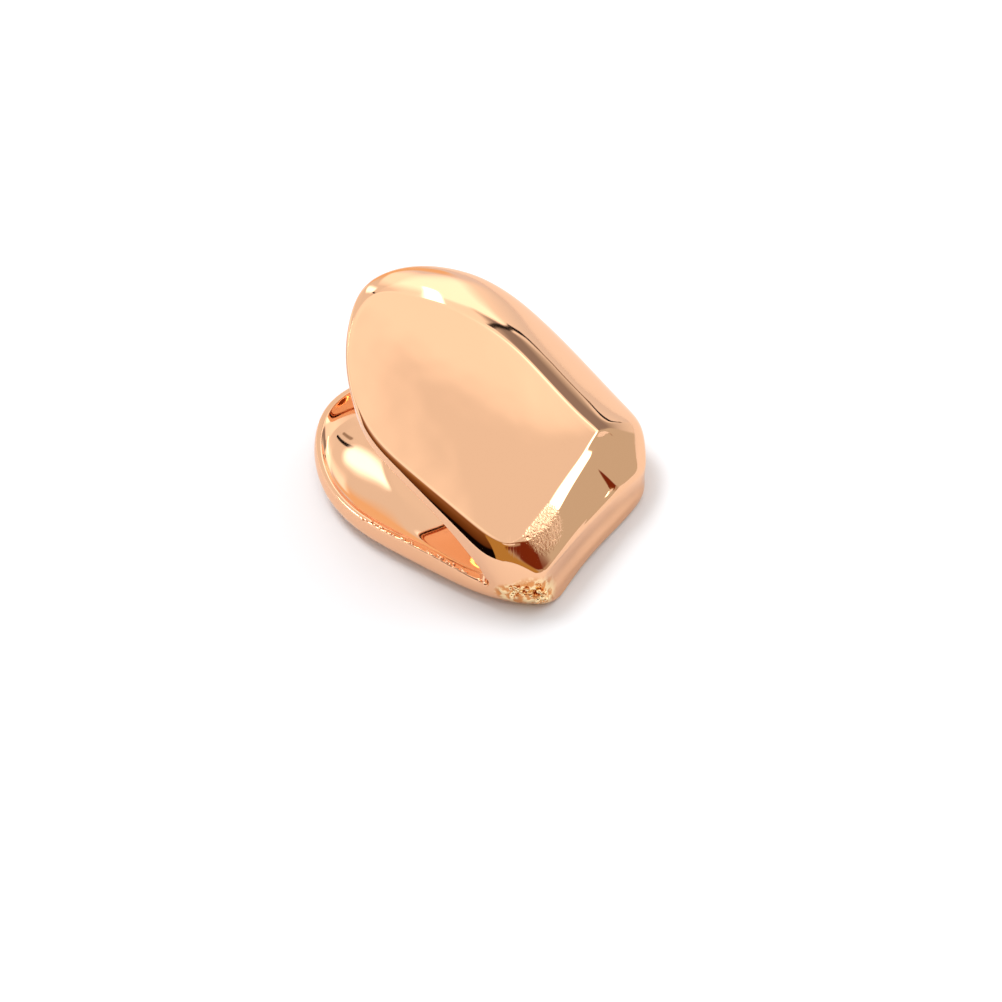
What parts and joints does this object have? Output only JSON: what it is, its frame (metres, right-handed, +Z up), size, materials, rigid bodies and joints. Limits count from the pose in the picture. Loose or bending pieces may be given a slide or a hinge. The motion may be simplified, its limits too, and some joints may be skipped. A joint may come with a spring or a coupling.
{
  "type": "grillz tooth cap",
  "caption": "Polished rose-gold cap worn over one front tooth: flat facetted face, broad rounded shoulder, open notched sides and a shallow tongue plate.",
  "frame": {"origin": "bottom centre of the cap's box as it lies on a table, on its flat sole", "axes": "+X along the cap, from its open gum end to the closed biting edge; +Y across it, to the side with the broad shoulder; +Z up from the sole"},
  "size_m": [0.0104, 0.0086, 0.0072],
  "materials": {
    "rose_gold": "mirror-polished rose gold, left rough along the rim of the tongue plate and on the bevel"
  },
  "bodies": {
    "root": {"tooth_cap": "rose_gold"}
  },
  "joints": []
}
